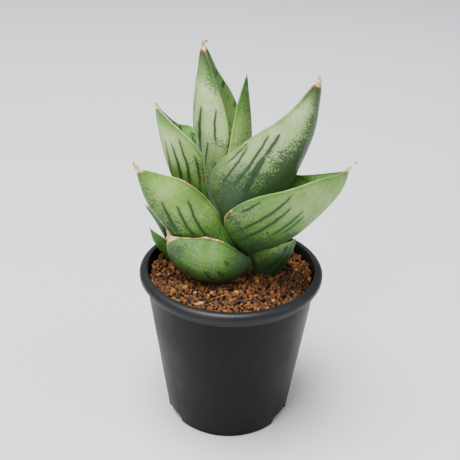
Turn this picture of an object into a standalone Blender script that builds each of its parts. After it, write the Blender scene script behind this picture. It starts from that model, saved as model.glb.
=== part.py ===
"""A snake plant rosette in a round plastic nursery pot.

The pot's axis stands at POT_CENTRE, +Z is up, -Y is the front and +X the right.
The origin is the middle of the overall footprint, on the surface the pot stands on.
Lengths are in millimetres in the tables below and become metres in the meshes.
"""
import math

import bmesh
import bpy
import numpy as np

MM = 0.001

# Where the pot's axis stands. The left-hand and right-hand leaves reach past the rim, and the
# middle of the overall footprint lies to the right of the axis.
POT_CENTRE = (-4.2, 0.0)

# Pot: a bead round the rim, a lip under the bead, then a tapered wall. Drops are measured from
# the rim's top, insets from the rim's radius.
POT_HEIGHT = 82.5
RIM_RADIUS = 45.0
RIM_BAND = 4.0
RIM_EDGE = 0.7
RIM_DROP = 4.2
LIP_INSET = 2.1
LIP_DROP = 7.2
WALL_INSET = 3.3
BASE_RADIUS = 31.8
WALL = 1.2
# The bead's outline, as insets and shares of RIM_DROP
BEAD = ((2.0, 0.07), (0.6, 0.26), (0.0, 0.52), (0.1, 0.88), (0.6, 1.0))
# The lip's outline, as further insets and shares of the way from RIM_DROP to LIP_DROP
LIP = ((0.1, 0.23), (0.0, 0.7), (0.4, 0.93))

# Pot floor, raised on a foot ring that is cut away in arches
FLOOR_LIFT = 3.4
FLOOR = 1.2
FLOOR_CORNER = 1.0
FOOT_WIDTH = 2.0
FOOT_FLARE = 0.2
FOOT_EDGE = 0.6
FOOT_EDGE_HEIGHT = 2.5
FOOT_ARCHES = 3
ARCH_WIDTH = 15.0
ARCH_HEIGHT = 4.4
ARCH_ROUND = 0.75
ARCH_REACH = 8.0
CENTRE_DRAIN_RADIUS = 5.0
DRAINS = 6
DRAIN_RADIUS = 2.6
DRAIN_CIRCLE = 16.0

# Sides of the turned pieces, and how far a cutter runs past what it cuts
POT_STEPS = 60
SOIL_STEPS = 40
KNOB_STEPS = 16
CUT_PAST = 2.0

# Soil
SOIL_BELOW_RIM = 4.5
SOIL_HEAP = 1.2
# Its low dome, as shares of the soil's radius and of SOIL_HEAP
SOIL_DOME = ((0.0, 1.0), (0.35, 0.85), (0.7, 0.4), (1.0, 0.0))

# Gap between pieces that press against each other
CLEARANCE = 0.4

# Rhizome: the buried stem that carries the leaves, its runner to the offset, and its roots.
# Heights are measured from the soil's level; the roots end ROOT_ABOVE_FLOOR over the pot's floor.
CROWN = (3.0, 4.0)
CROWN_TOP = 4.0
CROWN_RADIUS = 4.0
CROWN_EDGE = 1.0
KNOB_RADIUS = 6.5
KNOB_TOP = -10.0
KNOB_SHOULDER = 2.0
KNOB_BOTTOM = -26.0
KNOB_UNDERCUT = 2.5
KNOB_UNDERCUT_HEIGHT = 4.0
RUNNER_RADIUS = 2.6
# The runner's path: shares of the way from the crown to the offset, and heights
RUNNER = ((0.0, -18.0), (0.42, -18.0), (0.78, -16.0), (0.95, -11.0), (1.0, -5.0))
ROOTS = 6
ROOT_RADIUS = 1.3
ROOT_TAPER = 0.45
ROOT_START = (2.0, 5.0)
ROOT_REACH = 19.0
ROOT_SWING = 0.35
ROOT_WALL_GAP = 6.0
ROOT_ABOVE_FLOOR = 9.4

# The offset, a young plant at the end of the runner, close to the pot's wall
OFFSET_AZIMUTH = 152.0
OFFSET_FROM_WALL = 8.25

# Leaf build: thickness at the margins, the most it may be as a share of the leaf's own, how it
# falls away towards them, and the most a leaf may fill of the room inside its fold
LEAF_RINGS = 15
LEAF_COLUMNS = 9
MARGIN_THICKNESS = 0.8
THICKNESS_FALL = 2.2
MARGIN_SHARE = 0.6
THICKNESS_LIMIT = 0.85
POINT_LENGTH = 1.5
SECTION_STEPS = 40
SPLINE_STEPS = 24
GREEN = (0.20, 0.33, 0.14)
DARK_GREEN = (0.06, 0.22, 0.03)

# Each leaf is a folded blade that runs along its midrib, the keel line on its outer face.
# ribs: x and y from the crown's axis and z from its top, then the half width laid flat and the
# fold, in degrees, that each half turns through between the midrib and its margin.
# faces: azimuth from +X towards +Y, and elevation, of the side the blade opens to, at base and tip.
# keel: how sharply the blade turns at the midrib; 1 is a round channel, less is a sharper keel.
# tucked: the margin (-1 or 1) that is folded away near the base, the share of its width that is
# left there, and the two places along the leaf between which it spreads to full width.
# thickness: at the base, the middle and the tip.
LEAVES = {
    "leaf_back_left": dict(
        ribs=((-7.5, 2.5, -5.5, 4, 45), (-13, 2.5, 7, 9.5, 80), (-23, 0.5, 23, 13.5, 100),
              (-31, -1.5, 43, 17.5, 105), (-37, -1.5, 64.5, 22.5, 60), (-39, 3.5, 77.5, 1.5, 30)),
        faces=((9, 30), (8, 27)), keel=0.5, tucked=(1, 0.7, 0.5, 0.85),
        thickness=(3.2, 3.4, 1.6), colour=GREEN),
    "leaf_left": dict(
        ribs=((0, -11, -0.5, 7.5, 50), (-10, -11.5, 7, 12, 60), (-21.5, -12, 14.5, 21, 65),
              (-31.5, -12.5, 23, 23.5, 70), (-40.5, -12.5, 35.5, 22, 60), (-45, -10, 44, 16.5, 55),
              (-47.5, -6.5, 51, 1.5, 50)),
        faces=((83, 22), (58, 33)), keel=0.5, tucked=(1, 0.65, 0.3, 0.68),
        thickness=(3.2, 3.4, 1.6), colour=GREEN),
    "leaf_right_tall": dict(
        ribs=((2, -1, 0.8, 3.5, 65), (5, -10.5, 17.5, 18, 70), (9.5, -14.5, 34, 32, 75),
              (19, -15, 50.5, 28, 80), (29, -10, 70.5, 17.5, 60), (33.5, -3, 93, 1.5, 30)),
        faces=((92, 12), (123, 30)), keel=0.7, tucked=(-1, 0.5, 0.38, 0.64),
        thickness=(3.2, 3.4, 1.6), colour=GREEN),
    "leaf_right": dict(
        ribs=((4.5, -9, 8.5, 4.5, 65), (8.5, -15, 14.5, 24, 65), (18.5, -20, 21, 31, 70),
              (30.5, -19.5, 30, 31.5, 70), (42.5, -14.5, 41.5, 23, 70), (47, -10.5, 47.5, 14.5, 70),
              (49.5, -6.5, 53, 1.5, 70)),
        faces=((100, 57), (151, 63)), keel=0.5, tucked=(-1, 0.26, 0.5, 0.8),
        thickness=(3.2, 3.4, 1.6), colour=GREEN),
    "leaf_front": dict(
        ribs=((7, -12, 5, 3.5, 40), (2.5, -19, 5, 10.5, 45), (-7, -23.5, 5.5, 17, 55),
              (-17, -24, 7, 18, 55), (-26, -20.5, 10.5, 16.5, 50), (-30.5, -17, 15, 12.5, 45),
              (-33, -14, 19.5, 3, 45)),
        faces=((94, 11), (75, 17)), keel=0.7, tucked=(1, 0.75, 0.45, 0.95),
        thickness=(3.2, 3.4, 1.6), colour=GREEN),
    "leaf_right_base": dict(
        ribs=((11, -3.5, -12, 7, 60), (19, -4.5, -5, 17, 65), (25, -4, 4, 18, 65),
              (28.5, -0.5, 12.5, 2, 45)),
        faces=((136, 14), (151, 20)), keel=0.6, tucked=(-1, 0.6, 1.0, 1.2),
        thickness=(3.0, 3.0, 1.6), colour=GREEN),
}

# The leaves behind the crown, their y measured from its back edge
BACK_LEAVES = {
    "leaf_back_tall": dict(
        ribs=((-3, 5, -5.5, 4, 45), (-11.5, 11, 15, 11, 75), (-19, 14.5, 35.5, 20, 75),
              (-23, 15.5, 62, 27, 75), (-22.5, 15, 82, 20.5, 70), (-19, 15.5, 102, 1.5, 55)),
        faces=((-27, 10), (-2, -5)), keel=0.5, tucked=(1, 0.8, 0.35, 0.62),
        thickness=(3.2, 3.4, 1.6), colour=GREEN),
    "leaf_centre": dict(
        ribs=((1.5, 2, -5.5, 2, 45), (1.5, 2.5, 7, 3.5, 80), (2.5, 3, 23, 8.5, 80),
              (4.5, 3, 45, 18, 80), (5, 2.5, 66.5, 11, 70), (2, 2, 93, 0.8, 60)),
        faces=((190, 0), (185, 0)), keel=0.6, tucked=(-1, 0.6, 0.45, 0.68),
        thickness=(2.0, 2.0, 1.0), colour=GREEN),
    "leaf_back_right": dict(
        ribs=((5.5, 3, -5.5, 3.5, 45), (9, 11, 10, 11, 60), (15, 19, 21, 15, 60),
              (19, 24, 30, 11, 52), (20.5, 26, 35, 1.2, 45)),
        faces=((235, 40), (240, 45)), keel=0.6, tucked=(1, 0.8, 0.3, 0.6),
        thickness=(3.2, 3.4, 1.6), colour=GREEN),
}

# The offset's leaves, measured from the offset's own place at the soil's level
OFFSET_LEAVES = {
    "offset_leaf_upper": dict(
        ribs=((-0.5, 3, -3, 2.5, 60), (-5, 3.5, 7, 7, 60), (-9.5, 2.5, 18, 6.5, 55),
              (-13, 0.5, 26.5, 0.8, 45)),
        faces=((20, 20), (20, 20)), keel=0.6, tucked=(1, 0.9, 0.3, 0.6),
        thickness=(1.8, 1.8, 0.9), colour=DARK_GREEN),
    "offset_leaf_lower": dict(
        ribs=((-0.5, -4.5, -3, 3, 60), (-6, -5.5, 4, 7, 60), (-10.2, -5.5, 11, 7, 55),
              (-12.3, -4.5, 17.3, 0.8, 45)),
        faces=((40, 30), (40, 30)), keel=0.6, tucked=(1, 0.9, 0.3, 0.6),
        thickness=(1.8, 1.8, 0.9), colour=DARK_GREEN),
    "offset_leaf_inner": dict(
        ribs=((3.2, -3, -3, 2.5, 60), (1.8, -4.2, 6, 4.2, 60), (-0.6, -4.8, 14, 4.2, 55),
              (-3, -4.8, 21, 0.8, 45)),
        faces=((80, 10), (80, 10)), keel=0.6, tucked=(1, 0.9, 0.3, 0.6),
        thickness=(1.6, 1.6, 0.9), colour=DARK_GREEN),
}


def soil_level():
    return POT_HEIGHT - SOIL_BELOW_RIM


def clear_scene():
    for obj in list(bpy.data.objects):
        bpy.data.objects.remove(obj, do_unlink=True)


def make_collection(name):
    collection = bpy.data.collections.new(name)
    bpy.context.scene.collection.children.link(collection)
    return collection


def make_material(name, colour, roughness):
    material = bpy.data.materials.new(name)
    material.use_nodes = True
    shader = material.node_tree.nodes["Principled BSDF"]
    shader.inputs["Base Color"].default_value = (*colour, 1.0)
    shader.inputs["Roughness"].default_value = roughness
    shader.inputs["Metallic"].default_value = 0.0
    return material


def add_object(name, mesh, collection, material=None):
    obj = bpy.data.objects.new(name, mesh)
    collection.objects.link(obj)
    if material:
        mesh.materials.append(material)
    return obj


def make_cutter(obj):
    obj.hide_render = True
    obj.display_type = "WIRE"
    return obj


def turned(name, profile, steps, collection, material=None):
    """A closed profile of (radius, height) turned round Z; its outer side runs top to bottom."""
    mesh = bpy.data.meshes.new(name)
    points = [(radius * MM, 0.0, height * MM) for radius, height in profile]
    on_axis = profile[0][0] == 0.0
    edges = [(i, i + 1) for i in range(len(points) - 1)]
    if not on_axis:
        edges.append((len(points) - 1, 0))
    mesh.from_pydata(points, edges, [])
    obj = add_object(name, mesh, collection, material)
    screw = obj.modifiers.new("Turn", "SCREW")
    screw.steps = steps
    screw.render_steps = steps
    screw.use_merge_vertices = True
    screw.merge_threshold = 0.00001
    return obj


def cut(obj, cutter, operation="DIFFERENCE"):
    boolean = obj.modifiers.new(f"{operation.title()} {cutter.name}", "BOOLEAN")
    boolean.operation = operation
    boolean.solver = "EXACT"
    boolean.object = cutter


def cylinder(name, radius, depth, place, collection, segments=12):
    mesh = bpy.data.meshes.new(name)
    form = bmesh.new()
    bmesh.ops.create_cone(form, cap_ends=True, segments=segments, radius1=radius * MM,
                          radius2=radius * MM, depth=depth * MM)
    form.to_mesh(mesh)
    form.free()
    obj = add_object(name, mesh, collection)
    obj.location = [value * MM for value in place]
    return obj


# ---------------------------------------------------------------- pot

def wall_top():
    return POT_HEIGHT - LIP_DROP


def floor_top():
    return FLOOR_LIFT + FLOOR


def wall_radius(height):
    """Outer radius of the tapered wall at a height."""
    return BASE_RADIUS + (RIM_RADIUS - WALL_INSET - BASE_RADIUS) * height / wall_top()


def inner_radius(height):
    """Inner radius at a height: the wall's, then straight on to the inner edge of the rim."""
    if height <= wall_top():
        return wall_radius(height) - WALL
    start = wall_radius(wall_top()) - WALL
    share = (height - wall_top()) / (LIP_DROP - RIM_EDGE)
    return start + (RIM_RADIUS - RIM_BAND - start) * share


def pot_profile():
    rim_inner = RIM_RADIUS - RIM_BAND
    lip_radius = RIM_RADIUS - LIP_INSET
    lip_top = POT_HEIGHT - RIM_DROP
    rim = [(rim_inner, POT_HEIGHT - RIM_EDGE), (rim_inner + RIM_EDGE, POT_HEIGHT)]
    rim += [(RIM_RADIUS - inset, POT_HEIGHT - share * RIM_DROP) for inset, share in BEAD]
    rim += [(lip_radius - inset, lip_top - share * (lip_top - wall_top())) for inset, share in LIP]
    outside = [
        (wall_radius(wall_top()), wall_top()),
        (wall_radius(FOOT_EDGE_HEIGHT), FOOT_EDGE_HEIGHT),
        (BASE_RADIUS - FOOT_EDGE, 0.0),
    ]
    under = [
        (BASE_RADIUS - FOOT_WIDTH, 0.0),
        (wall_radius(FLOOR_LIFT) - FOOT_WIDTH - FOOT_FLARE, FLOOR_LIFT),
        (CENTRE_DRAIN_RADIUS, FLOOR_LIFT),
    ]
    inside = [
        (CENTRE_DRAIN_RADIUS, floor_top()),
        (inner_radius(floor_top()) - FLOOR_CORNER, floor_top()),
        (inner_radius(floor_top() + FLOOR_CORNER), floor_top() + FLOOR_CORNER),
        (inner_radius(wall_top()), wall_top()),
    ]
    return rim + outside + under + inside


def offset_place():
    reach = inner_radius(soil_level()) - OFFSET_FROM_WALL
    turn = math.radians(OFFSET_AZIMUTH)
    return reach * math.cos(turn), reach * math.sin(turn)


def foot_arch(index, collection):
    """A cutter for one arch between the feet: an upright slab with a round top, along its radius."""
    name = f"foot_arch_{index + 1}"
    half = ARCH_WIDTH / 2
    corner = ARCH_HEIGHT * ARCH_ROUND
    outline = [(-half, -CUT_PAST), (half, -CUT_PAST), (half, ARCH_HEIGHT - corner)]
    outline += [(half - corner * (1 - math.cos(turn)), ARCH_HEIGHT - corner + corner * math.sin(turn))
                for turn in np.radians((30, 60, 90))]
    outline += [(-x, z) for x, z in reversed(outline[2:])]
    mesh = bpy.data.meshes.new(name)
    form = bmesh.new()
    near = BASE_RADIUS - ARCH_REACH
    corners = [form.verts.new((near * MM, x * MM, z * MM)) for x, z in outline]
    face = form.faces.new(corners)
    swept = bmesh.ops.extrude_face_region(form, geom=[face])
    moved = [item for item in swept["geom"] if isinstance(item, bmesh.types.BMVert)]
    bmesh.ops.translate(form, verts=moved, vec=(2 * ARCH_REACH * MM, 0.0, 0.0))
    bmesh.ops.recalc_face_normals(form, faces=form.faces)
    form.to_mesh(mesh)
    form.free()
    obj = add_object(name, mesh, collection)
    obj.rotation_euler.z = math.radians(90 + 360 * index / FOOT_ARCHES)
    return obj


def build_pot(collection, cutters):
    material = make_material("pot_plastic", (0.035, 0.036, 0.038), 0.45)
    pot = turned("pot", pot_profile(), POT_STEPS, collection, material)
    for index in range(FOOT_ARCHES):
        cut(pot, make_cutter(foot_arch(index, cutters)))
    for index in range(DRAINS):
        turn = 2 * math.pi * ((index + 0.5) / DRAINS + 0.5 / POT_STEPS)
        place = (DRAIN_CIRCLE * math.cos(turn), DRAIN_CIRCLE * math.sin(turn), floor_top() - FLOOR / 2)
        cut(pot, make_cutter(cylinder(f"drain_{index + 1}", DRAIN_RADIUS, FLOOR + CUT_PAST, place, cutters)))
    return pot


# ---------------------------------------------------------------- leaves

def direction(azimuth, elevation):
    a, e = math.radians(azimuth), math.radians(elevation)
    return np.array([math.cos(a) * math.cos(e), math.sin(a) * math.cos(e), math.sin(e)])


def spline(ribs, places):
    """Values of a smooth curve through the ribs, at places from 0 to 1 along its length."""
    rows = np.array(ribs, float)
    rows = np.vstack([2 * rows[0] - rows[1], rows, 2 * rows[-1] - rows[-2]])
    fine = []
    for before, start, end, after in zip(rows, rows[1:], rows[2:], rows[3:]):
        for u in np.linspace(0, 1, SPLINE_STEPS, endpoint=False):
            square = 2 * before - 5 * start + 4 * end - after
            cube = 3 * start - before - 3 * end + after
            fine.append(0.5 * (2 * start + (end - before) * u + square * u ** 2 + cube * u ** 3))
    fine.append(rows[-2])
    fine = np.array(fine)
    run = np.concatenate([[0], np.cumsum(np.linalg.norm(np.diff(fine[:, :3], axis=0), axis=1))])
    return np.stack([np.interp(np.array(places) * run[-1], run, column) for column in fine.T], axis=-1)


def ease(value, start, end):
    u = np.clip((value - start) / (end - start), 0, 1)
    return u * u * (3 - 2 * u)


def unit(vectors):
    return vectors / np.linalg.norm(vectors, axis=-1, keepdims=True)


def blade_section(half_width, fold, keel, reach):
    """Places across one half of a blade: out sideways, up its open side, and the turn there."""
    middles = (np.arange(SECTION_STEPS) + 0.5) / SECTION_STEPS
    turn = fold * middles ** keel
    side = half_width * np.concatenate([[0], np.cumsum(np.cos(turn))]) / SECTION_STEPS
    rise = half_width * np.concatenate([[0], np.cumsum(np.sin(turn))]) / SECTION_STEPS
    marks = np.linspace(0, 1, SECTION_STEPS + 1)
    return np.interp(reach, marks, side), np.interp(reach, marks, rise), fold * reach ** keel


def all_leaves():
    """The name and the shape of every leaf, and the place its ribs are measured from."""
    crown_top = soil_level() + CROWN_TOP
    crown_back = CROWN[1] + CROWN_RADIUS
    leaves = [(name, leaf, (*CROWN, crown_top)) for name, leaf in LEAVES.items()]
    leaves += [(name, leaf, (CROWN[0], crown_back, crown_top)) for name, leaf in BACK_LEAVES.items()]
    leaves += [(name, leaf, (*offset_place(), soil_level())) for name, leaf in OFFSET_LEAVES.items()]
    return leaves


def leaf_rings(leaf, grow):
    """Closed cross-sections from base to tip, each round the outer face and back over the inner one.

    Every face lies out by grow.
    """
    places = np.linspace(0, 1, LEAF_RINGS)
    rows = spline(leaf["ribs"], places)
    step = 0.01
    along = unit(spline(leaf["ribs"], np.clip(places + step, 0, 1))[:, :3]
                 - spline(leaf["ribs"], np.clip(places - step, 0, 1))[:, :3])
    base_face, tip_face = (direction(*angles) for angles in leaf["faces"])
    blend = ease(places, 0, 1)[:, None]
    up = base_face * (1 - blend) + tip_face * blend
    up = unit(up - (up * along).sum(axis=1, keepdims=True) * along)
    side = np.cross(along, up)
    tucked_side, tucked_share, spread_from, spread_to = leaf["tucked"]
    tucked_reach = tucked_share + (1 - tucked_share) * ease(places, spread_from, spread_to)
    thickness = np.interp(places, (0, 0.5, 1), leaf["thickness"])
    across = np.linspace(-1, 1, LEAF_COLUMNS)
    rings = []
    for i, (centre, half_width, fold) in enumerate(zip(rows[:, :3], rows[:, 3], np.radians(rows[:, 4]))):
        share = np.where(np.sign(across) == tucked_side, tucked_reach[i], 1.0)
        reach = np.abs(across) * share
        out, rise, turn = blade_section(half_width, fold, leaf["keel"], reach)
        out, turn = out * np.sign(across), turn * np.sign(across)
        outer = centre + out[:, None] * side[i] + rise[:, None] * up[i]
        inward = -np.sin(turn)[:, None] * side[i] + np.cos(turn)[:, None] * up[i]
        sideways = np.cos(turn)[:, None] * side[i] + np.sin(turn)[:, None] * up[i]
        margin = min(MARGIN_THICKNESS, MARGIN_SHARE * thickness[i])
        depth = margin + (thickness[i] - margin) * (1 - np.abs(across) ** THICKNESS_FALL)
        room = np.abs(out[across != 0] / np.sin(turn[across != 0])).min()
        depth = np.minimum(depth, THICKNESS_LIMIT * room)
        inner = outer + (depth + grow)[:, None] * inward
        outer = outer - grow * inward
        for face in (outer, inner):
            face[0] -= grow * sideways[0]
            face[-1] += grow * sideways[-1]
        rings.append(np.vstack([outer, inner[::-1]]))
    return np.array(rings), along


def leaf_mesh(name, leaf, place):
    rings, along = leaf_rings(leaf, 0.0)
    rings += np.array(place)
    count = rings.shape[1]
    base_centre = rings[0].mean(axis=0)
    point = rings[-1].mean(axis=0) + along[-1] * POINT_LENGTH
    points = np.vstack([rings.reshape(-1, 3), base_centre, point]) * MM
    faces = []
    for ring in range(len(rings) - 1):
        for k in range(count):
            a, b = ring * count + k, ring * count + (k + 1) % count
            faces.append((a, b, b + count, a + count))
    base_index, point_index = len(points) - 2, len(points) - 1
    last = (len(rings) - 1) * count
    for k in range(count):
        faces.append((base_index, (k + 1) % count, k))
        faces.append((point_index, last + k, last + (k + 1) % count))
    mesh = bpy.data.meshes.new(name)
    mesh.from_pydata(points.tolist(), [], faces)
    form = bmesh.new()
    form.from_mesh(mesh)
    bmesh.ops.recalc_face_normals(form, faces=form.faces)
    form.to_mesh(mesh)
    form.free()
    mesh.shade_smooth()
    return mesh


def build_leaves(collection):
    for name, leaf, place in all_leaves():
        material = make_material(f"{name}_green", leaf["colour"], 0.45)
        add_object(name, leaf_mesh(name, leaf, place), collection, material)


# ---------------------------------------------------------------- rhizome and soil

def tube(name, points, radii, collection):
    """A round tube through the points, capped and closed, as a mesh."""
    curve = bpy.data.curves.new(name, "CURVE")
    curve.dimensions = "3D"
    curve.bevel_depth = MM
    curve.bevel_resolution = 2
    curve.use_fill_caps = True
    path = curve.splines.new("POLY")
    path.points.add(len(points) - 1)
    for point, place, radius in zip(path.points, points, radii):
        point.co = (place[0] * MM, place[1] * MM, place[2] * MM, 1.0)
        point.radius = radius
    guide = add_object(name, curve, collection)
    bpy.context.view_layer.update()
    depsgraph = bpy.context.evaluated_depsgraph_get()
    mesh = bpy.data.meshes.new_from_object(guide.evaluated_get(depsgraph))
    bpy.data.objects.remove(guide, do_unlink=True)
    form = bmesh.new()
    form.from_mesh(mesh)
    bmesh.ops.remove_doubles(form, verts=form.verts, dist=0.000001)
    bmesh.ops.recalc_face_normals(form, faces=form.faces)
    form.to_mesh(mesh)
    form.free()
    mesh.name = name
    return add_object(name, mesh, collection)


def root_path(index):
    """A root that leaves the knob sideways, turns down and ends near the floor."""
    turn = 2 * math.pi * (index + ROOT_SWING) / ROOTS
    start_reach, above_knob_bottom = ROOT_START
    top = soil_level() + KNOB_BOTTOM + above_knob_bottom
    bottom = floor_top() + ROOT_ABOVE_FLOOR
    points = []
    for u in np.linspace(0, 1, 7):
        reach = start_reach + (ROOT_REACH - start_reach) * math.sin(u * math.pi / 2) ** 0.8
        height = top - (top - bottom) * u ** 1.7
        swing = turn + ROOT_SWING * math.sin(3 * u + index)
        shrink = min(1.0, (inner_radius(height) - ROOT_WALL_GAP) / (ROOT_REACH + ROOT_WALL_GAP))
        points.append((CROWN[0] * (1 - u) + reach * shrink * math.cos(swing),
                       CROWN[1] * (1 - u) + reach * shrink * math.sin(swing), height))
    return points


def rhizome_solid(name, grow, collection, pieces, material=None):
    """The rhizome with every surface out by grow: its knob, runner and roots in one body."""
    profile = [
        (0.0, CROWN_TOP + grow),
        (CROWN_RADIUS - CROWN_EDGE + grow, CROWN_TOP + grow),
        (CROWN_RADIUS + grow, CROWN_TOP - CROWN_EDGE),
        (CROWN_RADIUS + grow, KNOB_TOP + KNOB_SHOULDER),
        (KNOB_RADIUS + grow, KNOB_TOP - KNOB_SHOULDER),
        (KNOB_RADIUS + grow, KNOB_BOTTOM + KNOB_UNDERCUT_HEIGHT),
        (KNOB_RADIUS - KNOB_UNDERCUT + grow, KNOB_BOTTOM - grow),
        (0.0, KNOB_BOTTOM - grow),
    ]
    knob = turned(name, profile, KNOB_STEPS, collection, material)
    knob.location = (CROWN[0] * MM, CROWN[1] * MM, soil_level() * MM)
    start, end = np.array(CROWN), np.array(offset_place())
    path = [(*(start + (end - start) * share), soil_level() + height) for share, height in RUNNER]
    path[-1] = (*path[-1][:2], path[-1][2] + grow)
    runner = tube(f"{name}_runner", path, [RUNNER_RADIUS + grow] * len(path), pieces)
    cut(knob, make_cutter(runner), "UNION")
    for index in range(ROOTS):
        points = root_path(index)
        x, y, z = points[-1]
        points[-1] = (x, y, z - grow)
        radii = [ROOT_RADIUS * (1 - ROOT_TAPER * u) + grow for u in np.linspace(0, 1, len(points))]
        cut(knob, make_cutter(tube(f"{name}_root_{index + 1}", points, radii, pieces)), "UNION")
    return knob


def leaf_pocket(name, leaf, place, soil_top):
    """The convex form, with clearance, round the stretch of a leaf that lies in the soil."""
    rings, along = leaf_rings(leaf, CLEARANCE)
    rings = rings + np.array(place)
    rings[0] -= CLEARANCE * along[0]
    in_soil = np.flatnonzero(rings[:, :, 2].min(axis=1) < soil_top)
    if len(in_soil) == 0:
        return None
    buried = rings[max(in_soil[0] - 1, 0):in_soil[-1] + 2]
    mesh = bpy.data.meshes.new(name)
    form = bmesh.new()
    corners = [form.verts.new(point) for point in (buried.reshape(-1, 3) * MM).tolist()]
    hull = bmesh.ops.convex_hull(form, input=corners)
    spare = {item for item in hull["geom_interior"] + hull["geom_unused"]
             if isinstance(item, bmesh.types.BMVert)}
    bmesh.ops.delete(form, geom=list(spare), context="VERTS")
    bmesh.ops.recalc_face_normals(form, faces=form.faces)
    form.to_mesh(mesh)
    form.free()
    return mesh


def soil_profile():
    """From the low dome's middle out to the pot's wall, down it and back over the floor."""
    level = soil_level()
    shoulder = min(wall_top(), level - FLOOR_CORNER)
    bottom = floor_top() + CLEARANCE
    edge = inner_radius(level) - CLEARANCE
    corner = inner_radius(bottom + FLOOR_CORNER) - 1.5 * CLEARANCE
    dome = [(edge * share, level + SOIL_HEAP * height) for share, height in SOIL_DOME]
    return dome + [
        (inner_radius(shoulder) - CLEARANCE, shoulder),
        (corner, bottom + FLOOR_CORNER),
        (corner - FLOOR_CORNER, bottom),
        (0.0, bottom),
    ]


def build_soil(collection, cutters):
    """The soil fills the pot up to its level, round the rhizome and the leaves that rise through it."""
    material = make_material("soil_grains", (0.20, 0.075, 0.03), 0.9)
    soil = turned("soil", soil_profile(), SOIL_STEPS, collection, material)
    cut(soil, make_cutter(rhizome_solid("rhizome_pocket", CLEARANCE, cutters, cutters)))
    for name, leaf, place in all_leaves():
        pocket = leaf_pocket(f"{name}_pocket", leaf, place, soil_level() + SOIL_HEAP)
        if pocket:
            cut(soil, make_cutter(add_object(pocket.name, pocket, cutters)))
    return soil


def main():
    clear_scene()
    parts = make_collection("snake_plant_in_pot")
    cutters = make_collection("cutters")
    build_pot(parts, cutters)
    build_soil(parts, cutters)
    skin = make_material("rhizome_skin", (0.45, 0.30, 0.16), 0.7)
    rhizome_solid("rhizome", 0.0, parts, cutters, skin)
    build_leaves(parts)
    stand = bpy.data.objects.new("stand", None)
    stand.location = (POT_CENTRE[0] * MM, POT_CENTRE[1] * MM, 0.0)
    parts.objects.link(stand)
    for obj in list(parts.objects) + list(cutters.objects):
        if obj is not stand:
            obj.parent = stand


main()
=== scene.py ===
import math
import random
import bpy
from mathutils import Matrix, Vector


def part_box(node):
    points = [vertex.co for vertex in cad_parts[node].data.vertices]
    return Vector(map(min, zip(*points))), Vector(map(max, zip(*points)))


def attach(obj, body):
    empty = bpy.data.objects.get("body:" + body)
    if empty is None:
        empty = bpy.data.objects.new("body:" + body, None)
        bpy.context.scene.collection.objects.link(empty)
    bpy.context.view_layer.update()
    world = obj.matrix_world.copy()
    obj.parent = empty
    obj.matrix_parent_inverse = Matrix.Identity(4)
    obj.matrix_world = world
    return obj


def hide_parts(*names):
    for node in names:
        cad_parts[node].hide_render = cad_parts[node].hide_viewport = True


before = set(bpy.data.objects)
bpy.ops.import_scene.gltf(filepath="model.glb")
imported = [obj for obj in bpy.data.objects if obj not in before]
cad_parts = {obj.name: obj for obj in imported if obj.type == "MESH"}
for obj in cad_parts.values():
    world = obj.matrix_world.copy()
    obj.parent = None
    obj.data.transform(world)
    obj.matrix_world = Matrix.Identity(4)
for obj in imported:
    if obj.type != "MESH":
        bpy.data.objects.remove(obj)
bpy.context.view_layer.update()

# The looks of a potted snake plant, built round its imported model.
# Lengths are in metres; a table headed "mm" is in millimetres and is scaled where it is read.
# Leaf coordinates: s runs across a leaf from -1 to 1, its midrib at 0, and t along it from base to tip.
from types import SimpleNamespace

import bmesh
import bpy
import numpy as np
from mathutils import Euler, Vector, noise
from mathutils.bvhtree import BVHTree

MM = 0.001
SEED = 7

pot_low, pot_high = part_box("pot")
POT_X = (pot_low.x + pot_high.x) / 2
POT_Y = (pot_low.y + pot_high.y) / 2
POT_HEIGHT = pot_high.z
RIM_RADIUS = (pot_high.x - pot_low.x) / 2
soil_low, soil_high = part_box("soil")
SOIL_RADIUS = (soil_high.x - soil_low.x) / 2
SOIL_TOP = soil_high.z


# ---------------------------------------------------------------- helpers

def add_mesh(name, points, faces, smooth=True):
    mesh = bpy.data.meshes.new(name)
    mesh.from_pydata([tuple(point) for point in points], [], [tuple(face) for face in faces])
    mesh.update()
    if smooth:
        mesh.shade_smooth()
    obj = bpy.data.objects.new(name, mesh)
    bpy.context.scene.collection.objects.link(obj)
    return obj


def set_float_attribute(mesh, name, values):
    layer = mesh.attributes.new(name, "FLOAT", "POINT")
    layer.data.foreach_set("value", np.asarray(values, np.float32))


def set_vector_attribute(mesh, name, values):
    layer = mesh.attributes.new(name, "FLOAT_VECTOR", "POINT")
    layer.data.foreach_set("vector", np.asarray(values, np.float32).reshape(-1))


def apply_modifiers(obj):
    """The object with its modifiers' result as its own mesh."""
    bpy.context.view_layer.update()
    evaluated = obj.evaluated_get(bpy.context.evaluated_depsgraph_get())
    mesh = bpy.data.meshes.new_from_object(evaluated)
    obj.modifiers.clear()
    obj.data = mesh
    return obj


def turn_faces_out(mesh):
    form = bmesh.new()
    form.from_mesh(mesh)
    bmesh.ops.recalc_face_normals(form, faces=form.faces)
    form.to_mesh(mesh)
    form.free()


def finish_piece(obj, material, nodes=()):
    """A piece with its material and slot, on the one body, in place of the CAD nodes that it replaces."""
    if not obj.data.materials:
        obj.data.materials.append(material)
    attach(obj, "root")
    if nodes:
        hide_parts(*nodes)
    return obj


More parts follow.
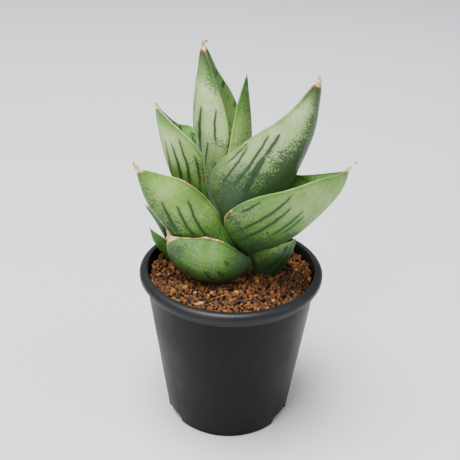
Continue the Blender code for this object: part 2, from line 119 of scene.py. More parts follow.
def catmull(rows, places):
    """A smooth curve through rows (first axis), read at places given in row numbers."""
    rows = np.asarray(rows, float)
    padded = np.concatenate([2 * rows[:1] - rows[1:2], rows, 2 * rows[-1:] - rows[-2:-1]])
    start = np.clip(np.floor(places).astype(int), 0, len(rows) - 2)
    u = (places - start).reshape((-1,) + (1,) * (rows.ndim - 1))
    a, b, c, d = (padded[start + k] for k in range(4))
    square = (2 * a - 5 * b + 4 * c - d) * u ** 2
    cube = (3 * b - a - 3 * c + d) * u ** 3
    return 0.5 * (2 * b + (c - a) * u + square + cube)


class Nodes:
    """Short words for the shader nodes of one tree."""

    def __init__(self, tree):
        self.tree = tree

    def add(self, kind, inputs=None, **settings):
        node = self.tree.nodes.new(kind)
        for key, value in settings.items():
            setattr(node, key, value)
        self.fill(node, inputs or {})
        return node

    def fill(self, node, inputs):
        for key, value in inputs.items():
            self.put(node.inputs[key], value)

    def put(self, socket, value):
        if isinstance(value, bpy.types.NodeSocket):
            self.tree.links.new(value, socket)
        elif socket.type == "RGBA":
            socket.default_value = (*value[:3], 1.0)
        else:
            socket.default_value = value

    def math(self, operation, a, b=0.0, clamp=False):
        node = self.add("ShaderNodeMath", operation=operation, use_clamp=clamp)
        self.put(node.inputs[0], a)
        self.put(node.inputs[1], b)
        return node.outputs[0]

    def times(self, a, b):
        return self.math("MULTIPLY", a, b)

    def plus(self, a, b, clamp=False):
        return self.math("ADD", a, b, clamp)

    def step(self, value, low, high, to_low=0.0, to_high=1.0):
        """A smooth step of value from low to high."""
        node = self.add("ShaderNodeMapRange", interpolation_type="SMOOTHSTEP")
        self.fill(node, {"Value": value, "From Min": low, "From Max": high,
                         "To Min": to_low, "To Max": to_high})
        return node.outputs["Result"]

    def mix(self, factor, a, b, blend="MIX"):
        node = self.add("ShaderNodeMix", data_type="RGBA", blend_type=blend, clamp_factor=True)
        self.put(node.inputs[0], factor)
        self.put(node.inputs[6], a)
        self.put(node.inputs[7], b)
        return node.outputs[2]

    def noise(self, vector, scale, detail=3.0, roughness=0.55):
        node = self.add("ShaderNodeTexNoise", {"Vector": vector, "Scale": scale, "Detail": detail,
                                               "Roughness": roughness})
        return node.outputs["Fac"]

    def attribute(self, name, output="Fac"):
        return self.add("ShaderNodeAttribute", attribute_name=name).outputs[output]

    def scaled(self, vector, scale, offset=(0.0, 0.0, 0.0)):
        node = self.add("ShaderNodeMapping", {"Vector": vector, "Scale": scale, "Location": offset})
        return node.outputs[0]

    def ramp(self, value, stops):
        node = self.add("ShaderNodeValToRGB", {"Fac": value})
        elements = node.color_ramp.elements
        while len(elements) < len(stops):
            elements.new(0.5)
        for element, (position, colour) in zip(elements, stops):
            element.position = position
            element.color = (*colour, 1.0)
        return node.outputs[0]

    def bump(self, height, strength, distance, normal=None):
        inputs = {"Height": height, "Strength": strength, "Distance": distance}
        if normal is not None:
            inputs["Normal"] = normal
        return self.add("ShaderNodeBump", inputs).outputs[0]


def new_material(name):
    material = bpy.data.materials.new(name)
    material.use_nodes = True
    nodes = Nodes(material.node_tree)
    shader = material.node_tree.nodes["Principled BSDF"]
    place = nodes.add("ShaderNodeTexCoord").outputs["Object"]
    return material, nodes, shader, place


# ---------------------------------------------------------------- camera, floor and light

# The camera stands off the pot's axis and looks down at it; angles are in radians, lens and sensor in mm
CAMERA_PLACE = (-0.00105, -0.3242, 0.2756)
CAMERA_PITCH = 0.492
CAMERA_ROLL = 0.026
LENS = 59.87
SENSOR = 36.0
FLOOR_HALF = 6.0
AMBIENT_STRENGTH = 0.56
SOFTBOX_SIZE = 0.8
# The softboxes: place, and power in watts
SOFTBOXES = {
    "top_softbox": ((-0.2, -0.1, 1.3), 38.0),
    "front_softbox": ((-0.6, -1.0, 1.0), 8.0),
    "right_softbox": ((1.0, -0.2, 0.8), 4.0),
}


def make_camera():
    data = bpy.data.cameras.new("camera")
    data.sensor_width = SENSOR
    data.lens = LENS
    data.clip_start = 0.01
    camera = bpy.data.objects.new("camera", data)
    camera.location = (POT_X + CAMERA_PLACE[0], POT_Y + CAMERA_PLACE[1], CAMERA_PLACE[2])
    tilt = Euler((math.pi / 2 - CAMERA_PITCH, 0.0, 0.0)).to_matrix()
    roll = Euler((0.0, 0.0, CAMERA_ROLL)).to_matrix()
    camera.rotation_euler = (tilt @ roll).to_euler()
    bpy.context.scene.collection.objects.link(camera)
    bpy.context.scene.camera = camera


def make_floor():
    """A plain pale floor with painted light: a little brighter and bluer far behind the pot, where it is the
    background.
    """
    corners = [(x * FLOOR_HALF, y * FLOOR_HALF, 0) for x, y in ((-1, -1), (1, -1), (1, 1), (-1, 1))]
    floor = add_mesh("floor", corners, [(0, 1, 2, 3)], smooth=False)
    material, nodes, shader, place = new_material("floor_board")
    tone = nodes.noise(place, 3.0, detail=2.0)
    # painted light: the floor is blended paler and bluer behind the pot
    away = nodes.step(nodes.add("ShaderNodeSeparateXYZ", {"Vector": place}).outputs["Y"], 0.1, 1.0)
    near_colour = nodes.mix(tone, (0.68, 0.685, 0.69), (0.71, 0.715, 0.72))
    colour = nodes.mix(away, near_colour, (0.84, 0.85, 0.885))
    nodes.fill(shader, {"Base Color": colour, "Roughness": 0.6})
    floor.data.materials.append(material)


def area_light(name, place, power):
    """A round softbox that faces the middle of the pot."""
    data = bpy.data.lights.new(name, "AREA")
    data.shape = "DISK"
    data.size = SOFTBOX_SIZE
    data.energy = power
    light = bpy.data.objects.new(name, data)
    light.location = place
    towards = Vector((POT_X, POT_Y, 0.1)) - Vector(place)
    light.rotation_euler = towards.to_track_quat("-Z", "Y").to_euler()
    bpy.context.scene.collection.objects.link(light)


def make_lights():
    world = bpy.data.worlds.new("studio")
    world.use_nodes = True
    background = world.node_tree.nodes["Background"]
    background.inputs["Color"].default_value = (0.95, 0.97, 1.0, 1.0)
    background.inputs["Strength"].default_value = AMBIENT_STRENGTH
    bpy.context.scene.world = world
    for name, (place, power) in SOFTBOXES.items():
        area_light(name, place, power)


# ---------------------------------------------------------------- pot

# Lengths of the pot are in mm, and DRAIN_TURN is a share of the turn from one drain to the next
POT_STEPS = 192
# The rim's outline: inset from the rim's radius, drop from the top, and corner radius. It runs from
# the inner corner over the rim and down the outside to the wall.
POT_RIM_OUTLINE = (
    (4.0, 0.0, 0.6), (1.6, 0.15, 0.9), (0.0, 1.5, 0.9), (0.0, 4.1, 0.6), (2.0, 4.6, 0.35),
    (2.1, 7.0, 0.5), (3.3, 7.25, 0.25),
)
BASE_RADIUS = 31.8
FLOOR_LIFT = 3.4
FLOOR = 1.2
WALL = 1.2
CENTRE_DRAIN_RADIUS = 5.0
FOOT_WIDTH = 2.0
ARCHES = 3
ARCH_HALF_WIDTH = 7.5
ARCH_HEIGHT = 4.4
ARCH_CORNER = 3.3
ARCH_REACH = 8.0
DRAINS = 6
DRAIN_RADIUS = 2.6
DRAIN_RING = 16.0
DRAIN_TURN = 0.55


def rounded(corners, steps=5):
    """A closed outline of (x, y, corner radius) with each corner rounded off."""
    outline = []
    count = len(corners)
    for i, (x, y, radius) in enumerate(corners):
        here = np.array((x, y), float)
        before = np.array(corners[i - 1][:2], float) - here
        after = np.array(corners[(i + 1) % count][:2], float) - here
        run = min(radius, 0.45 * np.linalg.norm(before), 0.45 * np.linalg.norm(after))
        start = here + before / np.linalg.norm(before) * run
        end = here + after / np.linalg.norm(after) * run
        for u in np.linspace(0, 1, steps):
            outline.append(tuple((1 - u) ** 2 * start + 2 * u * (1 - u) * here + u ** 2 * end))
    return outline


def pot_outline():
    """The pot's wall, foot and floor as a closed outline of (radius, height) in mm."""
    rim, top = RIM_RADIUS / MM, POT_HEIGHT / MM
    wall_top_inset, wall_top_drop, _ = POT_RIM_OUTLINE[-1]
    slope = (rim - wall_top_inset - BASE_RADIUS) / (top - wall_top_drop)
    inside = BASE_RADIUS - WALL
    corners = [(rim - inset, top - drop, radius) for inset, drop, radius in POT_RIM_OUTLINE]
    corners += [(BASE_RADIUS, 0.0, 1.2), (BASE_RADIUS - FOOT_WIDTH, 0.0, 0.4),
                (BASE_RADIUS - FOOT_WIDTH, FLOOR_LIFT, 0.5), (CENTRE_DRAIN_RADIUS, FLOOR_LIFT, 0.2),
                (CENTRE_DRAIN_RADIUS, FLOOR_LIFT + FLOOR, 0.2),
                (inside + slope * (FLOOR_LIFT + FLOOR), FLOOR_LIFT + FLOOR, 1.0),
                (inside + slope * (top - wall_top_drop), top - wall_top_drop, 0.5)]
    return rounded(corners)


def turned(name, outline, steps, place):
    """A closed outline of (radius, height) in mm turned round the pot's axis."""
    points = []
    for k in range(steps):
        turn = 2 * math.pi * k / steps
        points += [(place[0] + r * MM * math.cos(turn), place[1] + r * MM * math.sin(turn), z * MM)
                   for r, z in outline]
    count = len(outline)
    faces = []
    for k in range(steps):
        near, far = k * count, ((k + 1) % steps) * count
        for i in range(count):
            j = (i + 1) % count
            faces.append((near + i, near + j, far + j, far + i))
    return add_mesh(name, points, faces)


def arch_cutter(index):
    """An upright slab with a round top, for one arch between the feet."""
    outline = [(-ARCH_HALF_WIDTH, -2.0), (ARCH_HALF_WIDTH, -2.0)]
    outline += [(ARCH_HALF_WIDTH - ARCH_CORNER * (1 - math.cos(a)),
                 ARCH_HEIGHT - ARCH_CORNER * (1 - math.sin(a))) for a in np.linspace(0, math.pi / 2, 9)]
    outline += [(-x, z) for x, z in reversed(outline[2:])]
    turn = math.pi / 2 + 2 * math.pi * index / ARCHES
    points = []
    for reach in (BASE_RADIUS - ARCH_REACH, BASE_RADIUS + ARCH_REACH):
        for x, z in outline:
            points.append((POT_X + (reach * math.cos(turn) - x * math.sin(turn)) * MM,
                           POT_Y + (reach * math.sin(turn) + x * math.cos(turn)) * MM, z * MM))
    count = len(outline)
    faces = [tuple(range(count))[::-1], tuple(range(count, 2 * count))]
    faces += [(i, (i + 1) % count, (i + 1) % count + count, i + count) for i in range(count)]
    cutter = add_mesh(f"arch_{index}", points, faces, smooth=False)
    turn_faces_out(cutter.data)
    return cutter


def drain_cutter(index):
    """A short cylinder through the floor, for one drain of the ring."""
    turn = 2 * math.pi * (index + DRAIN_TURN) / DRAINS
    mesh = bpy.data.meshes.new(f"drain_{index}")
    form = bmesh.new()
    bmesh.ops.create_cone(form, cap_ends=True, segments=32, radius1=DRAIN_RADIUS * MM,
                          radius2=DRAIN_RADIUS * MM, depth=(FLOOR + 2) * MM)
    form.to_mesh(mesh)
    form.free()
    cutter = bpy.data.objects.new(mesh.name, mesh)
    cutter.location = (POT_X + DRAIN_RING * MM * math.cos(turn), POT_Y + DRAIN_RING * MM * math.sin(turn),
                       (FLOOR_LIFT + FLOOR / 2) * MM)
    bpy.context.scene.collection.objects.link(cutter)
    return cutter


def pot_material():
    """Black moulded plastic: streaks down the wall, scuffs, and a rim a little bluer and shinier."""
    material, nodes, shader, place = new_material("pot_plastic")
    height = nodes.add("ShaderNodeSeparateXYZ", {"Vector": place}).outputs["Z"]
    streaks = nodes.noise(nodes.scaled(place, (1.0, 1.0, 0.06)), 260.0, detail=4.0)
    grain = nodes.noise(place, 2600.0, detail=2.0)
    cloud = nodes.noise(place, 45.0, detail=3.0)
    scuffs = nodes.noise(nodes.scaled(place, (1.0, 1.0, 3.0)), 420.0, detail=5.0, roughness=0.7)
    scuffs = nodes.step(scuffs, 0.62, 0.74)
    rim = nodes.step(height, POT_HEIGHT - 8.5 * MM, POT_HEIGHT - 6.5 * MM)
    wall = nodes.mix(cloud, (0.0028, 0.0028, 0.0027), (0.005, 0.005, 0.0048))
    band = nodes.mix(cloud, (0.006, 0.0065, 0.008), (0.010, 0.011, 0.013))
    colour = nodes.mix(rim, wall, band)
    colour = nodes.mix(nodes.times(streaks, 0.2), colour, (0.012, 0.012, 0.012))
    colour = nodes.mix(nodes.times(scuffs, 0.12), colour, (0.035, 0.035, 0.036))
    dullness = nodes.step(nodes.plus(cloud, nodes.times(scuffs, 0.4)), 0.2, 1.1, 0.38, 0.6)
    specular = nodes.mix(rim, (0.09, 0.09, 0.09), (0.24, 0.24, 0.24))
    normal = nodes.bump(grain, 0.12, 0.05 * MM, nodes.bump(streaks, 0.25, 0.15 * MM))
    nodes.fill(shader, {"Base Color": colour, "Roughness": dullness, "Specular IOR Level": specular,
                        "Normal": normal})
    return material


def make_pot():
    """The pot's turned shell with its arches and drains cut out."""
    pot = turned("pot_shell", pot_outline(), POT_STEPS, (POT_X, POT_Y))
    cutters = [arch_cutter(index) for index in range(ARCHES)]
    cutters += [drain_cutter(index) for index in range(DRAINS)]
    for cutter in cutters:
        boolean = pot.modifiers.new(cutter.name, "BOOLEAN")
        boolean.object = cutter
        boolean.operation = "DIFFERENCE"
        boolean.solver = "EXACT"
    apply_modifiers(pot)
    for cutter in cutters:
        bpy.data.objects.remove(cutter, do_unlink=True)
    pot.data.materials.clear()
    pot.data.shade_smooth()
    pot.data.set_sharp_from_angle(angle=math.radians(35))
    return finish_piece(pot, pot_material(), ("pot",))


# ---------------------------------------------------------------- leaves: shape

# The CAD leaves have this many points round a cross-section and this many cross-sections
SECTION = 18
CAD_RINGS = 15
# The finer leaves have this many rows along and columns across each face
ROWS, COLUMNS = 120, 41
SMOOTH_PASSES = 3
BLUNT_FROM_TO = (0.9, 1.0)
RIDGE_HEIGHT = 0.10 * MM
WEAR_DEPTH = 0.12 * MM
LINE_SPREAD = 1.2
THORN_STEPS = 16
THORN_SIDES = 10
TINY = 1e-9


def leaf_rings(node):
    """The CAD leaf's cross-sections from base to tip as (outer, inner) grids, and its tip point."""
    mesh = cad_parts[node].data
    points = np.array([vertex.co for vertex in mesh.vertices])
    microns = np.round(points / 1e-6).astype(np.int64)
    _, first, index = np.unique(microns, axis=0, return_index=True, return_inverse=True)
    points, index = points[first], index.reshape(-1)
    triangles = [tuple(index[list(polygon.vertices)]) for polygon in mesh.polygons]
    near = {k: set() for k in range(len(points))}
    for triangle in triangles:
        for a, b in zip(triangle, triangle[1:] + triangle[:1]):
            near[a].add(b)
            near[b].add(a)
    tip = max((k for k in near if len(near[k]) >= SECTION), key=lambda k: points[k][2])
    level = {tip: 0}
    front = [tip]
    while front:
        reached = sorted({b for a in front for b in near[a]} - set(level))
        for b in reached:
            level[b] = level[front[0]] + 1
        front = reached
    rings = []
    for depth in range(1, max(level.values()) + 1):
        members = [k for k in level if level[k] == depth]
        if len(members) < SECTION:
            break
        round_edges = {k: set() for k in members}
        for triangle in triangles:
            here = [k for k in triangle if level[k] == depth]
            if len(here) == 2 and min(level[k] for k in triangle) == depth - 1:
                round_edges[here[0]].add(here[1])
                round_edges[here[1]].add(here[0])
        ring = [members[0], sorted(round_edges[members[0]])[0]]
        while len(ring) < SECTION:
            ring.append(next(k for k in round_edges[ring[-1]] if k != ring[-2]))
        ring = points[ring]
        if rings:
            choices = [np.roll(way, shift, axis=0) for way in (ring, ring[::-1]) for shift in range(SECTION)]
            ring = min(choices, key=lambda choice: np.linalg.norm(choice - rings[-1], axis=1).sum())
        rings.append(ring)
    rings = np.array(rings[::-1])
    half = SECTION // 2
    gaps = np.linalg.norm(rings - np.roll(rings, 1, axis=1), axis=2).sum(axis=0)
    margin_gap = [gaps[k] + gaps[(k + half) % SECTION] for k in range(half)]
    rings = np.roll(rings, -int(np.argmin(margin_gap)), axis=1)
    outer, inner = rings[:, :half], rings[:, half:][:, ::-1]
    girth = [np.linalg.norm(np.diff(face, axis=1), axis=2).sum() for face in (outer, inner)]
    if girth[0] < girth[1]:
        outer, inner = inner, outer
    middle = half // 2
    along = rings[-1].mean(axis=0) - rings[0].mean(axis=0)
    inward = (inner[:, middle] - outer[:, middle]).mean(axis=0)
    if np.dot((outer[:, -1] - outer[:, 0]).mean(axis=0), np.cross(along, inward)) < 0:
        outer, inner = outer[:, ::-1], inner[:, ::-1]
    return outer, inner, points[tip]


def dense_face(face, tip, rows, columns):
    """A finer grid over a face, carried on to the leaf's tip point."""
    closed = np.concatenate([face, np.repeat(tip[None, None], face.shape[1], axis=1)])
    long_way = catmull(closed, np.linspace(0, len(closed) - 1, rows))
    across = catmull(long_way.transpose(1, 0, 2), np.linspace(0, face.shape[1] - 1, columns))
    return across.transpose(1, 0, 2)


def soften(grid, passes):
    """A grid blurred along both directions, its edges held by repeating them."""
    for _ in range(passes):
        for axis in (0, 1):
            ends = [(1, 1) if k == axis else (0, 0) for k in range(grid.ndim)]
            wide = np.pad(grid, ends, mode="edge")
            before, after = (np.take(wide, range(k, k + grid.shape[axis]), axis=axis) for k in (0, 2))
            grid = 0.25 * before + 0.5 * grid + 0.25 * after
    return grid


def smooth_along(grid, passes):
    """A surface grid blurred along the leaf, its first and last rows held."""
    for _ in range(passes):
        inner_rows = 0.25 * grid[:-2] + 0.5 * grid[1:-1] + 0.25 * grid[2:]
        grid = np.concatenate([grid[:1], inner_rows, grid[-1:]])
    return grid


def read_table(table, s, t):
    """A look's table of (t, one value or five across) read on the leaf's whole grid."""
    rows = np.array([np.broadcast_to(row, 5) for _, row in table])
    places = [place for place, _ in table]
    columns = np.stack([np.interp(t, places, column) for column in rows.T], axis=1)
    grid = np.array([np.interp(s, (-1, -0.5, 0, 0.5, 1), row) for row in columns])
    return soften(grid, 10)


def leaf_surfaces(name, look, s, t):
    """A leaf's outer and inner faces as fine grids, and its tip: the CAD leaf's form, mended by its look."""
    outer, inner, tip = leaf_rings(name)
    outer, inner = (smooth_along(dense_face(face, tip, ROWS, COLUMNS), look.get("smooth", SMOOTH_PASSES))
                    for face in (outer, inner))
    centre = (outer.mean(axis=1) + inner.mean(axis=1))[:, None] / 2
    widen = 1 + look.get("blunt", 0.0) * np.interp(t, BLUNT_FROM_TO, (0.0, 1.0))[:, None, None] ** 1.5
    outer = centre + (outer - centre) * widen
    inner = centre + (inner - centre) * widen
    bend = np.array(look.get("bend", (0.0, 0.0, 0.0))) * MM * (t[:, None, None] / t[-1]) ** 2
    outer, inner, tip = outer + bend, inner + bend, tip + bend[-1, 0]
    for side, push, start, end in look.get("sway", ()):
        share = np.sin(np.pi * np.clip((t - start) / (end - start), 0, 1))[:, None] * np.clip(s * side, 0, 1)
        outer = outer + share[..., None] * np.array(push) * MM
        inner = inner + share[..., None] * np.array(push) * MM
    return outer, inner, tip


def worn_surfaces(outer, inner, s, t, seed):
    """The two faces with fine ridges along them, and the two margins, rounded and a little worn."""
    depth = inner - outer
    thick = np.linalg.norm(depth, axis=2, keepdims=True)
    inward = depth / np.maximum(thick, TINY)
    ridge = np.array([[noise.noise((across * 17 + seed * 3.1, along * 2.2, seed)) for across in s]
                      for along in t])
    fade = np.sin(np.pi * np.clip(t / t[-1], 0, 1)) ** 0.5
    ridge = ridge * fade[:, None] * RIDGE_HEIGHT
    outer = outer - inward * ridge[..., None]
    inner = inner + inward * ridge[..., None] * 0.6
    edges = []
    for side, column, nearby in ((0, 0, 2), (1, -1, -3)):
        wear = np.array([noise.noise((along * 34, seed * 5.3 + side * 9, 0.5))
                         + 0.6 * noise.noise((along * 90, seed + side, 2.5)) for along in t])
        away = outer[:, column] - outer[:, nearby]
        away /= np.maximum(np.linalg.norm(away, axis=1, keepdims=True), TINY)
        middle = (outer[:, column] + inner[:, column]) / 2
        reach = 0.5 * thick[:, column] + wear[:, None] * WEAR_DEPTH * fade[:, None]
        edges.append(middle + away * reach)
    return outer, inner, edges


def make_blade(name, outer, inner, edges, tip):
    """A leaf's closed mesh: rings of outer face, margin, inner face and margin, up to the tip point."""
    ring = np.concatenate([outer, edges[1][:, None], inner[:, ::-1], edges[0][:, None]], axis=1)
    count = ring.shape[1]
    faces = []
    for i in range(ROWS - 2):
        for j in range(count):
            a, b = i * count + j, i * count + (j + 1) % count
            faces.append((a, b, b + count, a + count))
    last = (ROWS - 2) * count
    tip_index = (ROWS - 1) * count
    points = ring.reshape(-1, 3)[:tip_index + 1]
    points[tip_index] = tip
    faces += [(last + j, last + (j + 1) % count, tip_index) for j in range(count)]
    faces.append(tuple(range(count))[::-1])
    leaf = add_mesh(f"{name}_blade", points, faces)
    turn_faces_out(leaf.data)
    return leaf


def round_ring(grid, left, right):
    """A grid of the outer face's values laid round the blade's rings, in the order of its points."""
    whole = np.concatenate([grid, right[:, None], grid[:, ::-1], left[:, None]], axis=1)
    return np.append(whole[:-1].reshape(-1), whole[-1].mean())


def set_skin(leaf, look, outer, s, t, seed):
    """The blade's attributes for its material. Gives the places on the skin across and along, in mm."""
    half = COLUMNS // 2
    steps = np.linalg.norm(np.diff(outer, axis=1), axis=2) / MM
    run = np.concatenate([np.zeros((ROWS, 1)), np.cumsum(steps, axis=1)], axis=1)
    u = run - run[:, half:half + 1]
    v = np.concatenate([[0], np.cumsum(np.linalg.norm(np.diff(outer[:, half], axis=0), axis=1))]) / MM
    worn = np.zeros((ROWS, COLUMNS))
    for side, start, end, amount in look["worn"]:
        strength = amount * np.clip((t - start) / 0.03, 0, 1) * np.clip((end - t) / 0.03, 0, 1)
        worn[:, s * side > 0] = np.maximum(worn[:, s * side > 0], strength[:, None])
    # the tone tables hold painted shade, mostly darker towards each leaf's base, besides the skin's own tone
    for key, grid in (("tone", read_table(look["tone"], s, t)), ("mottle", read_table(look["mottle"], s, t)),
                      ("worn", worn)):
        set_float_attribute(leaf.data, key, round_ring(grid, grid[:, 0], grid[:, -1]))
    on_margin = np.zeros(ROWS)
    to_margin = np.where(s < 0, u - u[:, :1], u[:, -1:] - u)
    set_float_attribute(leaf.data, "margin", round_ring(to_margin, on_margin, on_margin))
    face = np.concatenate([np.zeros(COLUMNS), [0.5], np.ones(COLUMNS), [0.5]])
    set_float_attribute(leaf.data, "inner", np.append(np.tile(face, ROWS - 1), 0.5))
    set_float_attribute(leaf.data, "along", np.append(np.repeat(t[:-1], len(face)), t[-1]))
    places = [round_ring(u, u[:, 0], u[:, -1]), round_ring(v[:, None] + 0 * u, v, v)]
    places.append(np.full(len(places[0]), seed * 31.7))
    set_vector_attribute(leaf.data, "skin", np.stack(places, axis=1))
    return u, v


def skin_lines(look, s, t, u, v, seed):
    """The look's dark lines in mm on the skin, with their mirrored and shifted copies on the other half."""
    def on_skin(place):
        row = place[1] / t[-1] * (ROWS - 1)
        low = min(int(row), ROWS - 2)
        across = [np.interp(place[0], s, u[k]) for k in (low, low + 1)]
        return across[0] + (across[1] - across[0]) * (row - low), np.interp(place[1], t, v)

    dice = random.Random(SEED + seed)
    lines = [(*on_skin(start), *on_skin(end), LINE_SPREAD * width) for start, end, width in look["lines"]]
    for start, end, width in look["lines"] if look.get("mirror", True) else ():
        shift, slide = dice.uniform(-0.06, 0.06), dice.uniform(-0.05, 0.03)
        mirrored = [(-place[0] + shift, place[1] + slide) for place in (start, end)]
        lines.append((*on_skin(mirrored[0]), *on_skin(mirrored[1]), width * dice.uniform(0.8, 1.2)))
    return lines


def make_leaf(name, look, seed):
    """A finely meshed leaf with its skin, its dark lines and its dried points."""
    s = np.linspace(-1, 1, COLUMNS)
    t = np.linspace(0, CAD_RINGS / (CAD_RINGS - 1), ROWS)
    outer, inner, tip = leaf_surfaces(name, look, s, t)
    outer, inner, edges = worn_surfaces(outer, inner, s, t, seed)
    leaf = make_blade(name, outer, inner, edges, tip)
    u, v = set_skin(leaf, look, outer, s, t, seed)
    lines = skin_lines(look, s, t, u, v, seed)
    finish_piece(leaf, leaf_material(name, look, lines), (name,))
    for number, thorn in enumerate(look.get("thorns", ())):
        make_thorn(f"{name}_dry_{number}", tip, thorn)
    return leaf


def make_thorn(name, tip, thorn):
    """A dried point or filament: a thin crooked tube from near the leaf's tip, its offsets in mm."""
    rows = catmull(np.array(thorn, float), np.linspace(0, len(thorn) - 1, THORN_STEPS))
    path, radii = tip + rows[:, :3] * MM, rows[:, 3]
    sides = THORN_SIDES
    points, faces = [], []
    for i, centre in enumerate(path):
        heading = Vector(path[min(i + 1, len(path) - 1)] - path[max(i - 1, 0)])
        frame_turn = heading.to_track_quat("Z", "Y").to_matrix()
        for k in range(sides):
            turn = 2 * math.pi * k / sides
            knob = 1 + 0.25 * noise.noise((i * 0.6, k * 1.3, tip[0] * 100))
            offset = Vector((math.cos(turn), 0.7 * math.sin(turn), 0.0)) * (radii[i] * knob * MM)
            points.append(tuple(Vector(centre) + frame_turn @ offset))
    for i in range(len(path) - 1):
        for k in range(sides):
            a, b = i * sides + k, i * sides + (k + 1) % sides
            faces.append((a, b, b + sides, a + sides))
    faces.append(tuple(range(sides))[::-1])
    faces.append(tuple((len(path) - 1) * sides + k for k in range(sides)))
    thorn_piece = add_mesh(name, points, faces)
    ends = np.repeat(np.linspace(0, 1, len(path)), sides)
    set_float_attribute(thorn_piece.data, "along", ends)
    finish_piece(thorn_piece, THORN_SKIN)


def thorn_material():
    material, nodes, shader, place = new_material("dried_tip")
    along = nodes.attribute("along")
    grain = nodes.noise(place, 1500.0, detail=4.0, roughness=0.7)
    colour = nodes.mix(nodes.step(grain, 0.35, 0.65), STRAW, TAN)
    colour = nodes.mix(nodes.step(along, 0.72, 0.95, 0.0, 0.75), colour, RUST)
    nodes.fill(shader, {"Base Color": colour, "Roughness": 0.7, "Normal": nodes.bump(grain, 0.4, 0.2 * MM)})
    return material


# ---------------------------------------------------------------- leaves: looks

LINE_DARK = (0.016, 0.045, 0.018)
MOTTLE_DARK = (0.030, 0.064, 0.028)
GRAIN_DARK = (0.05, 0.12, 0.045)
CREAM = (0.60, 0.66, 0.46)
TAN = (0.40, 0.235, 0.075)
RUST = (0.17, 0.062, 0.018)
STRAW = (0.74, 0.58, 0.33)
# The skin's colours from dark to pale, in its silvery and in its greener form
SILVER_TONES = ((0.0, (0.010, 0.024, 0.009)), (0.25, (0.052, 0.092, 0.034)), (0.5, (0.165, 0.243, 0.096)),
                (0.75, (0.338, 0.440, 0.205)), (1.0, (0.540, 0.650, 0.350)))
GREEN_TONES = ((0.0, (0.008, 0.038, 0.004)), (0.25, (0.041, 0.130, 0.011)), (0.5, (0.131, 0.288, 0.036)),
               (0.75, (0.279, 0.480, 0.096)), (1.0, (0.410, 0.634, 0.192)))
